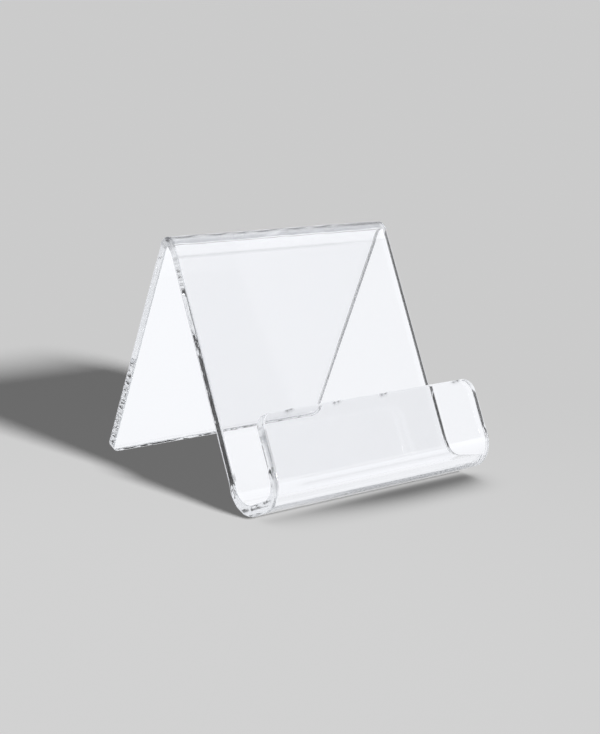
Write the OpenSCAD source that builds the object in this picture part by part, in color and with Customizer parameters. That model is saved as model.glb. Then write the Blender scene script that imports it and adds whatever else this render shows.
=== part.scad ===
// Photo album stand: one clear acrylic sheet, cut out flat and heat-bent along three lines.
//
// The stretches between the bend lines are separate sub-parts that meet face to face: back leg, ridge bend,
// front panel, heel bend, ledge, toe bend and front lip. Width runs along X, the front faces -Y, and +Z is up.
// The origin is on the ground, midway across the width and midway between the toe and the foot of the back leg.

/* [Sheet] */
// Width of the sheet, left to right
sheet_w = 100; // [60:1:200]
// Thickness of the sheet
sheet_t = 4; // [2:0.5:6]

/* [Easel] */
// Height of the ridge's top above the ground
stand_h = 88.5; // [70:0.5:160]
// Lean of the front panel back from upright, in degrees
panel_lean = 27.5; // [15:0.5:40]
// Lean of the back leg forward from upright, in degrees
leg_lean = 21.25; // [10:0.25:35]
// Inner radius of the ridge bend
ridge_r = 1; // [0.5:0.5:6]
// Radius of the back leg's two bottom corners
leg_corner_r = 3; // [1:0.5:12]

/* [Album rest] */
// Inner radius of the heel and toe bends
fold_r = 6.5; // [3:0.5:12]
// Length of the flat ledge between the heel and toe bends
ledge_len = 6.5; // [2:0.5:40]
// Length of the flat lip above the toe bend
lip_len = 21.5; // [10:0.5:60]
// Radius of the lip's two top corners
lip_corner_r = 5; // [1:0.5:8]

/* [Hidden] */

$fn = 96;
clear_acrylic = [0.90, 0.94, 0.97];

// Directions are angles in the side view, counted from +Y towards +Z. Each flat stretch is named by the
// direction of the face that is its outer one at the bend it springs from.
leg_out = leg_lean;
panel_front = 180 - panel_lean;
panel_back = -panel_lean;
ledge_under = panel_back - 90;

// Outer radii of the bends.
ridge_outer_r = ridge_r + sheet_t;
fold_outer_r = fold_r + sheet_t;

// Side-view points are [y, z], at first with the heel bend's centre at y = 0. The heel bend's outer face
// touches the ground, and the ledge runs forwards from it, square to the panel.
heel = [0, fold_outer_r];
toe = heel + ledge_len * toward(panel_front);

// The panel rises to the ridge bend, whose outer face sets the height of the stand.
ridge_z = stand_h - ridge_outer_r;
panel_step = (fold_outer_r + ridge_r) * toward(panel_back);
panel_len = (ridge_z - heel[1] - panel_step[1]) / cos(panel_lean);
ridge = heel + panel_step + panel_len * toward(panel_front - 90);

// The back leg is cut off square, so its inner bottom edge is the one that touches the ground.
leg_len = (ridge_z + ridge_r * sin(leg_lean)) / cos(leg_lean);
foot = ridge + ridge_outer_r * toward(leg_out) + leg_len * toward(leg_out - 90);

// Shift that puts the origin midway between the foremost and the rearmost line.
to_origin = [-(foot[0] + toe[0] - fold_outer_r) / 2, 0];

function toward(angle) = [cos(angle), sin(angle)];

// Lays a flat outline, with its width along X and its length along Y, against the bend centred on `bend_at`.
// `out` is the direction from that centre to the sheet, and `inner_r` the distance to its nearer face.
module lay_flat(bend_at, out, inner_r) {
    at = bend_at + to_origin;
    color(clear_acrylic)
        translate([0, at[0], at[1]])
            rotate([out - 90, 0, 0])
                translate([0, 0, inner_r])
                    linear_extrude(sheet_t)
                        children();
}

// A stretch of the sheet between two bend lines.
module strip(length) {
    translate([-sheet_w / 2, 0])
        square([sheet_w, length]);
}

// A stretch of the sheet from a bend line to a free end with two rounded corners.
module tab(length, corner_r) {
    strip(length - corner_r);
    translate([corner_r - sheet_w / 2, 0])
        square([sheet_w - 2 * corner_r, length]);
    for (side = [-1, 1])
        translate([side * (sheet_w / 2 - corner_r), length - corner_r])
            circle(corner_r);
}

// A bent stretch of the sheet, about an axis along X through `bend_at`.
module bend(bend_at, inner_r, from_angle, to_angle) {
    at = bend_at + to_origin;
    color(clear_acrylic)
        translate([-sheet_w / 2, at[0], at[1]])
            rotate([90, 0, 90])
                rotate([0, 0, from_angle])
                    rotate_extrude(angle = to_angle - from_angle)
                        translate([inner_r, 0])
                            square([sheet_t, sheet_w]);
}

// The easel's rear support, from the ridge down to its foot.
module back_leg() {
    lay_flat(ridge, leg_out, ridge_r)
        tab(leg_len, leg_corner_r);
}

// The tight bend along the top.
module ridge_bend() {
    bend(ridge, ridge_r, leg_out, panel_front);
}

// The sloping face that the album leans on.
module front_panel() {
    lay_flat(heel, panel_back, fold_r)
        mirror([0, 1])
            strip(panel_len);
}

// The bend at the panel's foot, which the stand rests on.
module heel_bend() {
    bend(heel, fold_r, ledge_under, panel_back);
}

// The short flat that carries the album's lower edge.
module ledge() {
    lay_flat(heel, ledge_under, fold_r)
        strip(ledge_len);
}

// The bend from the ledge up to the lip.
module toe_bend() {
    bend(toe, fold_r, panel_front, ledge_under + 360);
}

// The upstand that keeps the album from sliding off.
module front_lip() {
    lay_flat(toe, panel_front, fold_r)
        tab(lip_len, lip_corner_r);
}

back_leg();
ridge_bend();
front_panel();
heel_bend();
ledge();
toe_bend();
front_lip();
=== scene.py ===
import math

import bpy
import numpy as np
from mathutils import Matrix, Vector, noise


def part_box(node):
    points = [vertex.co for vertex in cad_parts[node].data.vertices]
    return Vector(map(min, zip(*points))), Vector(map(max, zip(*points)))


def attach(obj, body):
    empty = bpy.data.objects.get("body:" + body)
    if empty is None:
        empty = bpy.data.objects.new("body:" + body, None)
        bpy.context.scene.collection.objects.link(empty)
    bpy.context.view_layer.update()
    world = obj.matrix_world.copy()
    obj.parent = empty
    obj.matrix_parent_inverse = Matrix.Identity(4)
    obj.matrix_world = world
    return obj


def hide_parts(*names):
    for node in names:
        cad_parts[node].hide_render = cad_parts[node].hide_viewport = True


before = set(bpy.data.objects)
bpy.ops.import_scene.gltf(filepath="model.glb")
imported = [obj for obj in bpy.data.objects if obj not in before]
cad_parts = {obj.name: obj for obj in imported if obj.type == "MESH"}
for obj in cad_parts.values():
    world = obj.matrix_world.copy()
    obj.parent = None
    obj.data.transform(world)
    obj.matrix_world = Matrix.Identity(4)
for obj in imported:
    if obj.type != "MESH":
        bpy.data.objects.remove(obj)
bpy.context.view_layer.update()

# ---------------------------------------------------------------------------------------------------------
# The sheet: a photo album stand bent from one piece of clear acrylic. Lengths are in metres.
#
# A place on the flat sheet is x across it and s along it, from the lip's free edge to the back leg's foot.
# Side 1 is the face that the album leans on, which is the outer one at the ridge, and side -1 is the other.
# The folds are the two gentle bends, the heel at the panel's foot and the toe below the lip.
# ---------------------------------------------------------------------------------------------------------
THICK = 0.004
PANEL_LEAN = math.radians(27.5)
LEG_LEAN = math.radians(21.25)
RIDGE_R = 0.001
FOLD_R = 0.0065
LEDGE_LEN = 0.0065
LIP_LEN = 0.0215
LIP_CORNER_R = 0.005
LEG_CORNER_R = 0.003

# How much thicker than THICK each face of the panel and of the leg is. Both are a little thinner, which sets
# where light that runs along inside the sheet comes out dark at its edges.
PANEL_SWELL = -0.00005
LEG_SWELL = -0.00004

# How far the saw's cut down the leg's right side leans, in metres across for each metre of depth.
LEG_CUT_SLANT = 0.13

# The polished edge: how far its rounding reaches in from the cut, and how far its middle stands proud.
EDGE_R = 0.0005
EDGE_BULGE = 0.00003

# How far the inner side of a bend is squeezed out past the sheet's side edges, and its outer side drawn in.
# It reaches FLARE_REACH in from the edge, and fades out beyond the bend.
FOLD_FLARE = 0.0003
FOLD_FLARE_FADE = 0.002
RIDGE_FLARE = 0.0004
RIDGE_FLARE_FADE = 0.001
FLARE_REACH = 0.003

# Ripples: their height, the size of one, and how far beyond a bend or in from an edge they fade out.
FACE_RIPPLE, FACE_RIPPLE_SIZE = 0.000006, 0.03
FOLD_RIPPLE, FOLD_RIPPLE_SIZE, FOLD_RIPPLE_FADE = 0.00003, 0.009, 0.004
RIDGE_RIPPLE, RIDGE_RIPPLE_SIZE, RIDGE_RIPPLE_FADE = 0.00016, 0.007, 0.0015
CUT_RIPPLE, CUT_RIPPLE_SIZE, CUT_RIPPLE_FADE = 0.00022, 0.0019, 0.003
FOOT_RIPPLE, FOOT_RIPPLE_SIZE, FOOT_RIPPLE_FADE = 0.00015, 0.0025, 0.001

# At the bends, ripples are drawn out along the sheet, and the ridge's run askew.
RIPPLE_DRAW = 0.5
RIDGE_RIPPLE_SKEW = 0.6

# The noise's third coordinate for each kind of ripple, so that none repeats another.
RIDGE_SEED, HEEL_SEED, TOE_SEED = 3, 5, 7
RIGHT_CUT_SEED, LEFT_CUT_SEED, FOOT_SEED = 11, 17, 23
TWIST_SEED, ROPE_SEED = 31, 41

# The mark that the bending heater left across the panel's front, below the ridge, and the thinner strip above
# it. The groove is in the mesh, and its darkness is painted shade in the tint. Towards the right the groove
# and its darkness fade to MARK_FAINTEST, from a place along X over a reach.
MARK_BELOW = 0.0044
MARK_WIDTH = 0.00014
MARK_DEPTH = 0.00010
MARK_FAINTEST = 0.35
GROOVE_FADE = (-0.01, 0.03)
DARKNESS_FADE = (0.015, 0.015)
GROOVE_REACH = 1.2 * MARK_WIDTH
# MARK_GREY is the mark's darkness, painted shade in the sheet's tint.
MARK_GREY, MARK_GREY_REACH = 0.3, 0.0005
STRIP_THINNING = 0.00035
STRIP_FADE = 1.5 * MARK_BELOW

# Nicks in the lip's top edge: place along X, half width and depth. They reach NICK_REACH down the lip, and the
# dark specks of painted shade in them SPECK_REACH. A speck's half width is SPECK_SPREAD times its nick's.
NICKS = [
    (-0.037, 0.0008, 0.00008),
    (-0.016, 0.0006, 0.0002),
    (0.006, 0.0007, 0.0003),
    (0.042, 0.0008, 0.00006),
]
NICK_REACH = 0.0007
SPECK_REACH = 0.0009
SPECK_SPREAD = 1.2

# Two dark ropes of painted shade twist along the ridge, standing in for the dark lines of its refraction, and
# cross every ROPE_CROSSING. Their place, their swing, their width and the half width of the greyer band that
# they lie in are shares of the bend, counted from the panel. From RIGHT_FROM on, they merge into a plain
# painted grey. The ropes' darkness is patchy, and they wander a little.
ROPE_CROSSING = 0.0125
ROPE_AT = 0.46
ROPE_SWING = 0.12
ROPE_WIDTH = 0.06
BAND_HALF_WIDTH = 0.17
BAND_SOFTNESS = 0.05
BAND_GREY = 0.3
ROPE_GREY = 1.1
ROPE_EVEN, ROPE_PATCHY, ROPE_PATCH_SIZE = 0.65, 0.35, 0.006
ROPE_WANDER, ROPE_WANDER_SIZE = 1.2, 0.02
RIGHT_GREY = 0.6
RIGHT_FROM, RIGHT_FADE = 0.02, 0.01

# Faint dark lines of painted shade along the toe bend, outside: distance along the sheet and darkness. They
# lie within TOE_LINE_HALF of TOE_LINE_MIDDLE across the sheet.
TOE_LINES = [(0.0251, 0.22), (0.0232, 0.10)]
TOE_LINE_MIDDLE = -0.005
TOE_LINE_HALF = 0.032
TOE_LINE_FADE = 0.004
TOE_LINE_REACH = 0.0005

# The sheet's left rim, which is left of LEFT_RIM, painted with shade: grey down the lip between two distances
# along the sheet, grey at the ridge, and a dark painted chip in the panel's front, above the heel bend.
LEFT_RIM = -0.0494
LIP_GREY, LIP_GREY_FADE = 0.45, 0.002
LIP_GREY_FROM, LIP_GREY_TO = 0.006, 0.024
RIDGE_END_GREY, RIDGE_END_FADE = 0.5, 0.0005
CHIP_GREY, CHIP_REACH = 0.9, 0.0009
CHIP_ABOVE_HEEL = 0.0043

# Spacing of the mesh's rows along the sheet and columns across it.
ROW_STEP = 0.00125
COLUMN_STEP = 0.00125
BEND_STEP = math.radians(4)
CORNER_STEPS = 8
ROUND_STEPS = 4
EDGE_STEPS = 7

# Extra rows at the heater's mark, in its widths, and extra columns at a nick, in its half widths, and along
# the side edges, in metres in from the edge.
MARK_ROWS = (-6, -3, -2, -1, 0, 1, 2, 3, 6)
NICK_COLUMNS = (-2, -1, -0.5, 0, 0.5, 1, 2)
SIDE_COLUMNS = (0.0, 0.0004, 0.0009, 0.0016)

# An even row or column that is closer than this to an extra one is left out.
ROW_GAP = 4 * MARK_WIDTH
COLUMN_GAP = 0.2 * COLUMN_STEP


def toward(angle):
    """The side-view direction (y, z) at an angle counted from +Y towards +Z."""
    return np.array([math.cos(angle), math.sin(angle)])


def sheet_chain():
    """The sheet's middle line from the lip's free edge to the back leg's foot.

    Returns the start point (y, z), the start heading, and a list of (length, turn) stretches.
    """
    fold_mid = FOLD_R + THICK / 2
    ridge_mid = RIDGE_R + THICK / 2
    up_panel = math.pi / 2 - PANEL_LEAN
    front = math.pi - PANEL_LEAN
    ridge_turn = PANEL_LEAN + LEG_LEAN - math.pi

    heel_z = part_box("heel_bend")[0].z + FOLD_R + THICK
    toe_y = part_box("toe_bend")[0].y + FOLD_R + THICK
    toe = np.array([toe_y, heel_z + LEDGE_LEN * math.sin(PANEL_LEAN)])
    ridge_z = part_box("ridge_bend")[1].z - RIDGE_R - THICK
    step_down = (FOLD_R + THICK + RIDGE_R) * math.sin(PANEL_LEAN)
    panel_len = (ridge_z - heel_z + step_down) / math.cos(PANEL_LEAN)
    leg_len = (ridge_z + RIDGE_R * math.sin(LEG_LEAN)) / math.cos(LEG_LEAN)

    start = toe + fold_mid * toward(front) + LIP_LEN * toward(up_panel)
    stretches = [
        (LIP_LEN, 0.0),
        (fold_mid * math.pi / 2, math.pi / 2),
        (LEDGE_LEN, 0.0),
        (fold_mid * math.pi / 2, math.pi / 2),
        (panel_len, 0.0),
        (-ridge_mid * ridge_turn, ridge_turn),
        (leg_len, 0.0),
    ]
    return start, up_panel + math.pi, stretches


START, HEADING, STRETCHES = sheet_chain()
SHEET_LEN = sum(length for length, turn in STRETCHES)
SHEET_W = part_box("front_panel")[1].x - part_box("front_panel")[0].x


def middle_line(s):
    """(y, z, heading) of the sheet's middle line at distance s from the lip's free edge."""
    point, heading = START.copy(), HEADING
    for number, (length, turn) in enumerate(STRETCHES):
        last = number == len(STRETCHES) - 1
        part = s if last else min(s, length)
        if turn == 0.0:
            point = point + part * toward(heading)
        else:
            radius = length / turn
            swept = part / radius
            side = toward(heading + math.pi / 2)
            point = point + radius * (side + toward(heading + swept - math.pi / 2))
            heading += swept
        s -= part
        if s <= 0 and not last:
            break
    return point[0], point[1], heading


def bend_centres():
    """Distance along the sheet to the middle of each bend, with the length of the bend."""
    centres, run = [], 0.0
    for length, turn in STRETCHES:
        if turn:
            centres.append((run + length / 2, length))
        run += length
    return centres


TOE_AT, HEEL_AT, RIDGE_AT = bend_centres()
MARK_AT = RIDGE_AT[0] - RIDGE_AT[1] / 2 - MARK_BELOW
CHIP_AT = HEEL_AT[0] + HEEL_AT[1] / 2 + CHIP_ABOVE_HEEL


def spaced(even, special, gap):
    """The even places and the special ones in order, without the even ones that crowd a special one."""
    kept = [e for e in even if all(abs(e - p) > gap for p in special)]
    return np.array(sorted(kept + list(special)))


def rows():
    """Distances along the sheet for the mesh's rows, between the rounded corners at its two ends."""
    places, run = [], 0.0
    for number, (length, turn) in enumerate(STRETCHES):
        step = BEND_STEP * abs(length / turn) if turn else ROW_STEP
        first = LIP_CORNER_R if number == 0 else run
        final = run + length
        if number == len(STRETCHES) - 1:
            final -= LEG_CORNER_R
        count = max(2, round((final - first) / step))
        places += list(np.linspace(first, final, count, endpoint=False))
        run += length
    places.append(SHEET_LEN - LEG_CORNER_R)
    mark = [MARK_AT + MARK_WIDTH * k for k in MARK_ROWS]
    return list(spaced(places, mark, ROW_GAP))


def shares():
    """Where the mesh's columns lie across the sheet, from -1 to 1, closer at the nicks and side edges."""
    half = SHEET_W / 2
    even = np.linspace(-1, 1, round(SHEET_W / COLUMN_STEP) + 1)
    nicks = [(x + k * wide) / (half - LIP_CORNER_R) for x, wide, deep in NICKS for k in NICK_COLUMNS]
    sides = [side * (1 - gap / half) for gap in SIDE_COLUMNS for side in (-1, 1)]
    return spaced(even, nicks + sides, COLUMN_GAP / half)


SHARES = shares()


def outline_rows(inset):
    """(half width, distance along the sheet) of each mesh row, with the outline drawn in by inset."""
    quarter = np.linspace(0, math.pi / 2, CORNER_STEPS + 1)
    half = SHEET_W / 2
    lip_r = LIP_CORNER_R - inset
    leg_r = LEG_CORNER_R - inset
    lip = [(half - LIP_CORNER_R + lip_r * math.sin(a), LIP_CORNER_R - lip_r * math.cos(a)) for a in quarter]
    leg_start = SHEET_LEN - LEG_CORNER_R
    leg = [(half - LEG_CORNER_R + leg_r * math.cos(a), leg_start + leg_r * math.sin(a)) for a in quarter]
    return lip[:-1] + [(half - inset, s) for s in rows()] + leg[1:]


def wave(x, s, size, seed):
    """Smooth noise from -1 to 1 over the flat sheet, with blobs of about the given size in metres."""
    return noise.noise(Vector((x / size, s / size, seed)))


def bell(distance, reach):
    """1 at no distance, falling smoothly to 0 beyond the reach."""
    return math.exp(-((distance / reach) ** 2))


def fall(distance, reach):
    """1 up to no distance, falling smoothly to 0 beyond the reach."""
    return bell(max(0.0, distance), reach)


def near(s, bend, reach):
    """1 inside a bend's zone, falling smoothly to 0 beyond it."""
    centre, length = bend
    return fall(abs(s - centre) - length / 2, reach)


def past(s, bend):
    """0 before a bend, rising smoothly to 1 behind it."""
    centre, length = bend
    share = min(1.0, max(0.0, (s - centre) / length + 0.5))
    return share * share * (3 - 2 * share)


def mark_strength(x, fade):
    """How strong the heater's mark is at x, from 1 on the left to MARK_FAINTEST on the right."""
    start, reach = fade
    return MARK_FAINTEST + (1 - MARK_FAINTEST) * fall(x - start, reach)


# ---------------------------------------------------------------------------------------------------------
# What heat, saw and handling did to the sheet
# ---------------------------------------------------------------------------------------------------------
def face_ripple(x, s, side):
    """How far the ripples move a face outwards: faint all over, and stronger at the bends."""
    lift = FACE_RIPPLE * wave(x, s, FACE_RIPPLE_SIZE, side)
    drawn = RIPPLE_DRAW * s
    for bend, seed in ((HEEL_AT, HEEL_SEED), (TOE_AT, TOE_SEED)):
        strength = FOLD_RIPPLE * near(s, bend, FOLD_RIPPLE_FADE)
        lift += strength * wave(x, drawn, FOLD_RIPPLE_SIZE, side + seed)
    strength = RIDGE_RIPPLE * near(s, RIDGE_AT, RIDGE_RIPPLE_FADE)
    skewed = x + RIDGE_RIPPLE_SKEW * (s - RIDGE_AT[0])
    return lift + strength * wave(skewed, drawn, RIDGE_RIPPLE_SIZE, side + RIDGE_SEED)


def heater_sink(x, s):
    """How far the panel's front is sunk by the heater's mark and in the thinner strip above it."""
    into_strip = min(1.0, max(0.0, (s - MARK_AT) / MARK_BELOW))
    strip = STRIP_THINNING * into_strip * near(s, RIDGE_AT, STRIP_FADE)
    groove = MARK_DEPTH * mark_strength(x, GROOVE_FADE) * bell(s - MARK_AT, GROOVE_REACH)
    return strip + groove


def face_lift(x, s, side):
    """How far a face has moved outwards at a point."""
    panel = past(s, HEEL_AT) * (1 - past(s, RIDGE_AT))
    lift = face_ripple(x, s, side) + PANEL_SWELL * panel + LEG_SWELL * past(s, RIDGE_AT)
    if side > 0:
        lift -= heater_sink(x, s)
    return lift


def edge_push(x, s, depth, half):
    """How far a point near a side edge has moved sideways, by the bends' squeeze, ripples and the saw."""
    folds = near(s, TOE_AT, FOLD_FLARE_FADE) + near(s, HEEL_AT, FOLD_FLARE_FADE)
    squeeze = FOLD_FLARE * folds - RIDGE_FLARE * near(s, RIDGE_AT, RIDGE_FLARE_FADE)
    push = squeeze * depth / (THICK / 2)
    soft = near(s, TOE_AT, CUT_RIPPLE_FADE) + near(s, HEEL_AT, CUT_RIPPLE_FADE)
    seed = RIGHT_CUT_SEED if x > 0 else LEFT_CUT_SEED
    push += CUT_RIPPLE * soft * wave(depth, s, CUT_RIPPLE_SIZE, seed)
    if x > 0:
        push -= LEG_CUT_SLANT * past(s, RIDGE_AT) * depth
    return math.copysign(push * bell(half - abs(x), FLARE_REACH), x)


def nick(x, s):
    """How far the lip's top edge is eaten away at a point."""
    return sum(deep * bell(x - at, wide) * bell(s, NICK_REACH) for at, wide, deep in NICKS)


def foot_ripple(x, s, depth):
    """How far the saw left the foot's edge proud at a point."""
    strength = FOOT_RIPPLE * bell(SHEET_LEN - s, FOOT_RIPPLE_FADE)
    return strength * wave(x, depth, FOOT_RIPPLE_SIZE, FOOT_SEED)


# ---------------------------------------------------------------------------------------------------------
# Painted shade: how grey the clear sheet's tint is painted at a point, from 0 to 1, for the dark lines and
# specks that light bent in the sheet shows. It is stored on the mesh, and the materials read it.
# ---------------------------------------------------------------------------------------------------------
def ridge_painted_shade(x, s):
    """Painted shade: the dark ropes along the ridge's outside, standing in for its refraction, and the grey
    band that they lie in.
    """
    share = (s - RIDGE_AT[0]) / RIDGE_AT[1] + 0.5
    wander = ROPE_WANDER * wave(x, 0.0, ROPE_WANDER_SIZE, TWIST_SEED)
    swing = ROPE_SWING * math.sin(math.pi * x / ROPE_CROSSING + wander)
    off = share - ROPE_AT
    ropes = max(bell(off - swing, ROPE_WIDTH), bell(off + swing, ROPE_WIDTH))
    ropes *= ROPE_EVEN + ROPE_PATCHY * wave(x, 0.0, ROPE_PATCH_SIZE, ROPE_SEED)
    right = 1 - fall(x - RIGHT_FROM, RIGHT_FADE)
    grey = ROPE_GREY * ropes * (1 - right) + RIGHT_GREY * right + BAND_GREY
    return grey * fall(abs(off) - BAND_HALF_WIDTH, BAND_SOFTNESS)


def mark_painted_shade(x, s):
    """The painted shade of the heater's mark."""
    return MARK_GREY * mark_strength(x, DARKNESS_FADE) * bell(s - MARK_AT, MARK_GREY_REACH)


def toe_painted_shade(x, s):
    """The faint lines of painted shade along the outside of the toe bend."""
    across = fall(abs(x - TOE_LINE_MIDDLE) - TOE_LINE_HALF, TOE_LINE_FADE)
    return sum(dark * across * bell(s - at, TOE_LINE_REACH) for at, dark in TOE_LINES)


def left_rim_painted_shade(s, side):
    """The painted grey of the left rim at the ridge, with a painted dark chip on one side and the lip's
    painted grey on the other.
    """
    worn = RIDGE_END_GREY * near(s, RIDGE_AT, RIDGE_END_FADE)
    if side > 0:
        worn += CHIP_GREY * bell(s - CHIP_AT, CHIP_REACH)
    elif s > LIP_GREY_FROM:
        worn += LIP_GREY * fall(s - LIP_GREY_TO, LIP_GREY_FADE)
    return worn


def nick_painted_shade(x, s):
    """The dark specks of painted shade in the nicks."""
    return sum(bell(x - at, SPECK_SPREAD * wide) * bell(s, SPECK_REACH) for at, wide, deep in NICKS)


def painted_shade(x, s, side):
    """All painted shade at a point."""
    worn = nick_painted_shade(x, s)
    worn += ridge_painted_shade(x, s) + mark_painted_shade(x, s) if side > 0 else toe_painted_shade(x, s)
    if x < LEFT_RIM:
        worn += left_rim_painted_shade(s, side)
    return min(1.0, worn)


# ---------------------------------------------------------------------------------------------------------
# The mesh
# ---------------------------------------------------------------------------------------------------------
def sheet_point(line, x, s, depth, half):
    """A point of the flat sheet, bent into the stand. depth is from the middle, positive on side 1."""
    y, z, heading = line
    out = toward(heading + math.pi / 2)
    along = toward(heading) * (nick(x, s) + foot_ripple(x, s, depth))
    sideways = x + edge_push(x, s, depth, half)
    return (sideways, y + depth * out[0] + along[0], z + depth * out[1] + along[1])


def edge_profile():
    """(inset, depth) of the polished edge, from side 1 round to side -1."""
    flat = THICK / 2 - EDGE_R
    turn = np.linspace(0, math.pi / 2, ROUND_STEPS + 1)
    over = [(EDGE_R * (1 - math.sin(a)), flat + EDGE_R * math.cos(a)) for a in turn]
    middle = [(0.0, depth) for depth in np.linspace(flat, -flat, EDGE_STEPS)[1:-1]]
    under = [(inset, -depth) for inset, depth in reversed(over)]
    round_all = over + middle + under
    return [(inset - EDGE_BULGE * (1 - (depth / (THICK / 2)) ** 2), depth) for inset, depth in round_all]


def rim_walk(grid_rows, columns):
    """(row, column) of each point round the grid's rim, in order."""
    last = grid_rows - 1
    walk = [(0, c) for c in range(columns)]
    walk += [(r, columns - 1) for r in range(1, last)]
    walk += [(last, c) for c in reversed(range(columns))]
    walk += [(r, 0) for r in reversed(range(1, last))]
    return walk


class Sheet:
    """The points, painted shade and faces of the bent sheet's closed mesh, as they are laid."""

    FACE_SLOT = 0
    EDGE_SLOT = 1

    def __init__(self):
        self.points, self.worn, self.faces, self.slots = [], [], [], []

    def lay(self, line, x, s, side, depth, half):
        """Adds a point, and returns its number."""
        self.points.append(sheet_point(line, x, s, depth, half))
        self.worn.append(painted_shade(x, s, side))
        return len(self.points) - 1

    def lay_face(self, side):
        """Adds the points of one face, and returns their numbers by (row, column)."""
        numbers = {}
        for r, (half, s) in enumerate(outline_rows(EDGE_R)):
            line = middle_line(s)
            for c, share in enumerate(SHARES):
                x = half * share
                depth = side * (THICK / 2 + face_lift(x, s, side))
                numbers[r, c] = self.lay(line, x, s, side, depth, half)
        return numbers

    def lay_loop(self, walk, inset, depth):
        """Adds one loop of points round the polished edge, and returns their numbers in order."""
        outline = outline_rows(inset)
        lines = [middle_line(s) for half, s in outline]
        side = math.copysign(1, depth)
        loop = []
        for r, c in walk:
            half, s = outline[r]
            x = half * SHARES[c]
            thinned = depth * (1 + face_lift(x, s, side) / (THICK / 2))
            loop.append(self.lay(lines[r], x, s, side, thinned, half))
        return loop

    def cover_face(self, numbers, grid_rows, columns, side):
        """Joins the points of one face into quads that look outwards."""
        for r in range(grid_rows - 1):
            for c in range(columns - 1):
                corners = [(r, c), (r, c + 1), (r + 1, c + 1), (r + 1, c)]
                self.faces.append([numbers[k] for k in corners[::side]])
                self.slots.append(self.FACE_SLOT)

    def cover_edge(self, loops):
        """Joins each loop of the edge to the next."""
        for first, second in zip(loops, loops[1:]):
            for k in range(len(first)):
                after = (k + 1) % len(first)
                self.faces.append([first[k], second[k], second[after], first[after]])
                self.slots.append(self.EDGE_SLOT)

    def to_object(self, name):
        """The mesh as an object in the scene."""
        mesh = bpy.data.meshes.new(name)
        mesh.from_pydata(self.points, [], self.faces)
        mesh.polygons.foreach_set("material_index", self.slots)
        mesh.polygons.foreach_set("use_smooth", [True] * len(self.faces))
        # The painted shade, stored on the mesh for the materials to read.
        mesh.attributes.new("painted_shade", "FLOAT", "POINT").data.foreach_set("value", self.worn)
        mesh.update()
        made = bpy.data.objects.new(name, mesh)
        bpy.context.scene.collection.objects.link(made)
        return made


def build_sheet():
    """The stand's one bent sheet, as a closed mesh with its faces and its polished edges."""
    laid = Sheet()
    grid_rows, columns = len(outline_rows(EDGE_R)), len(SHARES)
    walk = rim_walk(grid_rows, columns)
    album_side, other_side = laid.lay_face(1), laid.lay_face(-1)
    laid.cover_face(album_side, grid_rows, columns, 1)
    laid.cover_face(other_side, grid_rows, columns, -1)
    loops = [[album_side[k] for k in walk]]
    loops += [laid.lay_loop(walk, inset, depth) for inset, depth in edge_profile()[1:-1]]
    loops.append([other_side[k] for k in walk])
    laid.cover_edge(loops)
    return laid.to_object("acrylic_sheet")


# ---------------------------------------------------------------------------------------------------------
# Materials
# ---------------------------------------------------------------------------------------------------------
# The dark tint that the painted shade carries the sheet's tint towards.
PAINTED_SHADE_TINT = (0.06, 0.06, 0.065)
ACRYLIC_IOR = 1.49
ACRYLIC_BODY = (0.66, 0.675, 0.69, 1)
ACRYLIC_DENSITY = 4.0

# The noises that vary the tint and the polish: blobs to the metre and detail. The roughness rises from 0 to
# its most as the polish noise goes through POLISH_RANGE.
TINT_BLOBS, TINT_DETAIL = 60.0, 3.0
POLISH_BLOBS, POLISH_DETAIL = 240.0, 4.0
POLISH_RANGE = (0.35, 0.75)


class Nodes:
    """A short way to add and join a material's or a world's nodes."""

    # The Mix node's numbers for its two colour inputs and its colour output.
    LOW_COLOUR, HIGH_COLOUR, MIXED_COLOUR = 6, 7, 2

    def __init__(self, owner):
        owner.use_nodes = True
        self.tree = owner.node_tree
        self.tree.nodes.clear()

    def add(self, kind, inputs=None, **settings):
        """A node with its settings, and its inputs given as sockets to join or as plain values."""
        node = self.tree.nodes.new(kind)
        for name, value in settings.items():
            setattr(node, name, value)
        for name, value in (inputs or {}).items():
            if isinstance(value, bpy.types.NodeSocket):
                self.tree.links.new(value, node.inputs[name])
            else:
                node.inputs[name].default_value = value
        return node

    def ramp(self, value, low, high, to_low=0.0, to_high=1.0):
        """A value carried smoothly from one range to another."""
        ends = {"Value": value, "From Min": low, "From Max": high, "To Min": to_low, "To Max": to_high}
        return self.add("ShaderNodeMapRange", ends, interpolation_type="SMOOTHSTEP").outputs["Result"]

    def maths(self, operation, first, second):
        """The result of one operation on two values."""
        return self.add("ShaderNodeMath", {0: first, 1: second}, operation=operation).outputs["Value"]

    def blend(self, factor, low, high):
        """A colour between two, each given as a socket or as red, green and blue."""
        mix = self.add("ShaderNodeMix", {"Factor": factor}, data_type="RGBA")
        for number, colour in ((self.LOW_COLOUR, low), (self.HIGH_COLOUR, high)):
            if isinstance(colour, bpy.types.NodeSocket):
                self.tree.links.new(colour, mix.inputs[number])
            else:
                mix.inputs[number].default_value = (*colour, 1)
        return mix.outputs[self.MIXED_COLOUR]

    def speckle(self, place, scale, detail=2.0):
        """Smooth noise with the given number of blobs to the metre."""
        blobs = self.add("ShaderNodeTexNoise", {"Vector": place, "Scale": scale, "Detail": detail})
        return blobs.outputs["Fac"]


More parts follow.
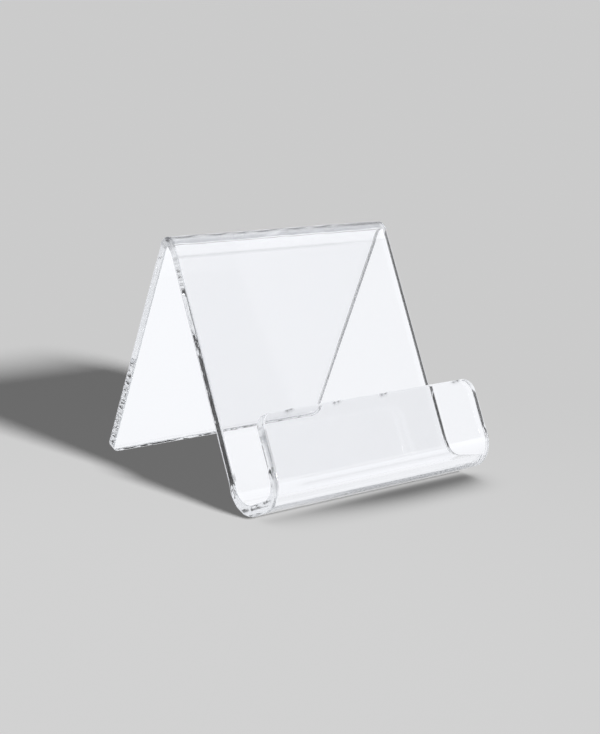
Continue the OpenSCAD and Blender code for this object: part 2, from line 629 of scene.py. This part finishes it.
def acrylic(name, tints, roughest, bump_size, bump_depth):
    """Clear acrylic whose tint, polish and surface vary a little from place to place, darkened by painted
    shade.
    """
    material = bpy.data.materials.new(name)
    nodes = Nodes(material)
    here = nodes.add("ShaderNodeTexCoord").outputs["Object"]
    tint = nodes.blend(nodes.speckle(here, TINT_BLOBS, TINT_DETAIL), *tints)
    # Painted shade, read from the mesh, darkens the tint.
    worn = nodes.add("ShaderNodeAttribute", attribute_name="painted_shade").outputs["Fac"]
    tint = nodes.blend(worn, tint, PAINTED_SHADE_TINT)
    polish = nodes.ramp(nodes.speckle(here, POLISH_BLOBS, POLISH_DETAIL), *POLISH_RANGE, 0.0, roughest)
    ripple = nodes.speckle(here, 1 / bump_size)
    bump = nodes.add("ShaderNodeBump", {"Height": ripple, "Distance": bump_depth, "Strength": 1.0})
    shader = nodes.add(
        "ShaderNodeBsdfPrincipled",
        {
            "Base Color": tint,
            "Roughness": polish,
            "Normal": bump.outputs["Normal"],
            "IOR": ACRYLIC_IOR,
            "Transmission Weight": 1.0,
        },
    )
    inside = nodes.add("ShaderNodeVolumeAbsorption", {"Color": ACRYLIC_BODY, "Density": ACRYLIC_DENSITY})
    nodes.add(
        "ShaderNodeOutputMaterial", {"Surface": shader.outputs["BSDF"], "Volume": inside.outputs["Volume"]}
    )
    return material


# ---------------------------------------------------------------------------------------------------------
# Stage
# ---------------------------------------------------------------------------------------------------------
FLOOR_HALF = 30.0
FLOOR_NEAR = (0.80, 0.80, 0.80)
FLOOR_FAR = (0.745, 0.745, 0.745)

# The floor is painted palest round this place, and darker between these two distances from it, as a painted
# falloff of the light.
PALE_AT = (-0.18, -0.12, 0.0)
PALE_WITHIN = 0.08
DARK_BEYOND = 0.40

# The contact shadow in front of the toe, which the key alone doesn't give. It fades in along Y and across X,
# to full strength on the right, and shades the floor where more than a little of the sky is hidden.
CONTACT_COLOUR = (0.20, 0.20, 0.20)
CONTACT_REACH = 0.018
CONTACT_ALONG_Y = (-0.036, -0.046)
CONTACT_ACROSS_X = (-0.06, 0.02)
CONTACT_LEFT = 0.35
CONTACT_HIDDEN = (0.05, 0.85)

# The tones of the backdrop, as the camera sees it, and of the even fill that lights the floor.
BACKDROP = 0.60
AMBIENT = 0.193

# The light tent's wall: its colour, and its tone at each elevation in degrees.
WALL = (0.965, 0.975, 1.0)
WALL_TONES = [(-90, 0.9), (-60, 0.88), (-40, 1.0), (-24, 0.99), (-17, 1.04), (90, 1.04)]

# Dark round cards in the tent: azimuth and elevation, radius and softness, all in degrees, and tone.
CARDS = [
    ((133, -9), 9.0, 1.5, 0.10),
    ((151, -12), 12.0, 1.5, 0.03),
    ((-48, 25), 12.0, 1.5, 0.04),
    ((42, 52), 9.5, 2.0, 0.06),
]

KEY_ENERGY = 4.2
KEY_ANGLE = math.radians(9)
KEY_FALLS = (-0.030, 0.170, -0.0885)

# The camera: azimuth counted from -Y towards +X, elevation and roll, the point that it looks at and how far
# away from it it stands, and its lens in millimetres.
CAMERA_AZIMUTH = math.radians(-39.86)
CAMERA_ELEVATION = math.radians(13.74)
CAMERA_ROLL = math.radians(2.70)
CAMERA_AIM = (0.0075, 0.0083, 0.0356)
CAMERA_DISTANCE = 0.5693
CAMERA_LENS = 73.5


def floor_colour(nodes, here):
    """The floor's colour, painted a little darker further away from the palest place as a falloff of the
    light.
    """
    offset = nodes.add("ShaderNodeVectorMath", {0: here, 1: PALE_AT}, operation="DISTANCE")
    away = nodes.ramp(offset.outputs["Value"], PALE_WITHIN, DARK_BEYOND)
    return nodes.blend(away, FLOOR_NEAR, FLOOR_FAR)


def contact_shade(nodes, here):
    """How deep the contact shadow is at a place on the floor, from 0 to 1."""
    open_sky = nodes.add("ShaderNodeAmbientOcclusion", {"Distance": CONTACT_REACH}, samples=16).outputs["AO"]
    place = nodes.add("ShaderNodeSeparateXYZ", {"Vector": here}).outputs
    in_front = nodes.ramp(place["Y"], *CONTACT_ALONG_Y)
    across = nodes.ramp(place["X"], *CONTACT_ACROSS_X, CONTACT_LEFT, 1.0)
    mask = nodes.maths("MULTIPLY", in_front, across)
    hidden = nodes.maths("MULTIPLY", nodes.maths("SUBTRACT", 1.0, open_sky), mask)
    return nodes.ramp(hidden, *CONTACT_HIDDEN)


def build_floor():
    """A plain pale floor that runs to the horizon. The tent's wall, and not the floor, shows in the sheet."""
    corners = [(x * FLOOR_HALF, y * FLOOR_HALF, 0) for x, y in ((-1, -1), (1, -1), (1, 1), (-1, 1))]
    mesh = bpy.data.meshes.new("floor")
    mesh.from_pydata(corners, [], [(0, 1, 2, 3)])
    floor = bpy.data.objects.new("floor", mesh)
    bpy.context.scene.collection.objects.link(floor)
    material = bpy.data.materials.new("pale_floor")
    nodes = Nodes(material)
    here = nodes.add("ShaderNodeTexCoord").outputs["Object"]
    colour = nodes.blend(contact_shade(nodes, here), floor_colour(nodes, here), CONTACT_COLOUR)
    shader = nodes.add("ShaderNodeBsdfDiffuse", {"Color": colour})
    nodes.add("ShaderNodeOutputMaterial", {"Surface": shader.outputs["BSDF"]})
    mesh.materials.append(material)
    floor.visible_transmission = False


def toward_sky(azimuth, elevation):
    """A direction from its azimuth, counted from +X towards +Y, and its elevation, in degrees."""
    a, e = math.radians(azimuth), math.radians(elevation)
    return (math.cos(e) * math.cos(a), math.cos(e) * math.sin(a), math.sin(e))


def tent_wall(nodes, aim):
    """The wall's colour in a direction, by how high it looks."""
    height = nodes.add("ShaderNodeSeparateXYZ", {"Vector": aim}).outputs["Z"]
    share = nodes.add("ShaderNodeMapRange", {"Value": height, "From Min": -1.0, "From Max": 1.0})
    wall = nodes.add("ShaderNodeValToRGB", {"Fac": share.outputs["Result"]})
    elements = wall.color_ramp.elements
    while len(elements) < len(WALL_TONES):
        elements.new(0.5)
    for element, (elevation, tone) in zip(elements, WALL_TONES):
        element.position = (math.sin(math.radians(elevation)) + 1) / 2
        element.color = (*(part * tone for part in WALL), 1)
    return wall.outputs["Color"]


def hang_card(nodes, aim, colour, card):
    """The tent's colour with one more card in front of it."""
    (azimuth, elevation), radius, soft, tone = card
    at = toward_sky(azimuth, elevation)
    facing = nodes.add("ShaderNodeVectorMath", {0: aim, 1: at}, operation="DOT_PRODUCT").outputs["Value"]
    outer = math.cos(math.radians(radius + soft))
    inner = math.cos(math.radians(radius - soft))
    return nodes.blend(nodes.ramp(facing, outer, inner), colour, (tone, tone, tone))


def plain_light(nodes, tone):
    """The same light from every direction."""
    return nodes.add("ShaderNodeBackground", {"Color": (tone, tone, tone, 1), "Strength": 1.0}).outputs[0]


def build_world():
    """The light tent that the sheet shows, the even fill on the floor, and the backdrop behind it all.

    The tent is a white wall all round, a little greyer underneath, with dark cards hung in it.
    """
    world = bpy.data.worlds.new("light_tent")
    bpy.context.scene.world = world
    nodes = Nodes(world)
    aim = nodes.add("ShaderNodeTexCoord").outputs["Generated"]
    colour = tent_wall(nodes, aim)
    for card in CARDS:
        colour = hang_card(nodes, aim, colour, card)
    light = nodes.add("ShaderNodeBackground", {"Color": colour, "Strength": 1.0}).outputs[0]
    rays = nodes.add("ShaderNodeLightPath").outputs
    for ray, tone in (("Is Diffuse Ray", AMBIENT), ("Is Camera Ray", BACKDROP)):
        plain = plain_light(nodes, tone)
        light = nodes.add("ShaderNodeMixShader", {"Fac": rays[ray], 1: light, 2: plain}).outputs[0]
    nodes.add("ShaderNodeOutputWorld", {"Surface": light})
    world.cycles.sampling_method = "NONE"


def build_key():
    """The soft key light, low in front of the stand and a little to its right."""
    light = bpy.data.lights.new("key", "SUN")
    light.energy = KEY_ENERGY
    light.angle = KEY_ANGLE
    key = bpy.data.objects.new("key", light)
    key.rotation_euler = Vector(KEY_FALLS).to_track_quat("-Z", "Y").to_euler()
    bpy.context.scene.collection.objects.link(key)


def build_camera():
    """The camera, in front of the stand and to its left, looking a little down on it."""
    level = math.cos(CAMERA_ELEVATION)
    back = Vector(
        (
            math.sin(CAMERA_AZIMUTH) * level,
            -math.cos(CAMERA_AZIMUTH) * level,
            math.sin(CAMERA_ELEVATION),
        )
    )
    data = bpy.data.cameras.new("camera")
    data.lens = CAMERA_LENS
    data.clip_start = 0.01
    data.clip_end = 100.0
    camera = bpy.data.objects.new("camera", data)
    turn = back.to_track_quat("Z", "Y").to_matrix().to_4x4() @ Matrix.Rotation(CAMERA_ROLL, 4, "Z")
    camera.matrix_world = Matrix.Translation(Vector(CAMERA_AIM) + back * CAMERA_DISTANCE) @ turn
    bpy.context.scene.collection.objects.link(camera)
    bpy.context.scene.camera = camera


# Light bounces many times along inside the sheet before it leaves at an edge.
SHEET_BOUNCES = 256

scene = bpy.context.scene
scene.view_settings.view_transform = "Standard"
scene.cycles.max_bounces = SHEET_BOUNCES
scene.cycles.transmission_bounces = SHEET_BOUNCES
scene.cycles.glossy_bounces = SHEET_BOUNCES
scene.cycles.caustics_reflective = False
scene.cycles.caustics_refractive = False

build_camera()
build_floor()
build_world()
build_key()

sheet = build_sheet()
sheet.data.materials.append(
    acrylic(
        "clear_acrylic",
        tints=((0.985, 0.988, 0.995), (0.995, 0.996, 1.0)),
        roughest=0.01,
        bump_size=0.02,
        bump_depth=0.00002,
    )
)
sheet.data.materials.append(
    acrylic(
        "polished_edge",
        tints=((0.96, 0.965, 0.97), (0.99, 0.99, 1.0)),
        roughest=0.012,
        bump_size=0.003,
        bump_depth=0.000012,
    )
)
shading = sheet.modifiers.new("even_shading", "WEIGHTED_NORMAL")
shading.mode = "FACE_AREA"
shading.weight = 100
sheet.visible_diffuse = False
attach(sheet, "root")
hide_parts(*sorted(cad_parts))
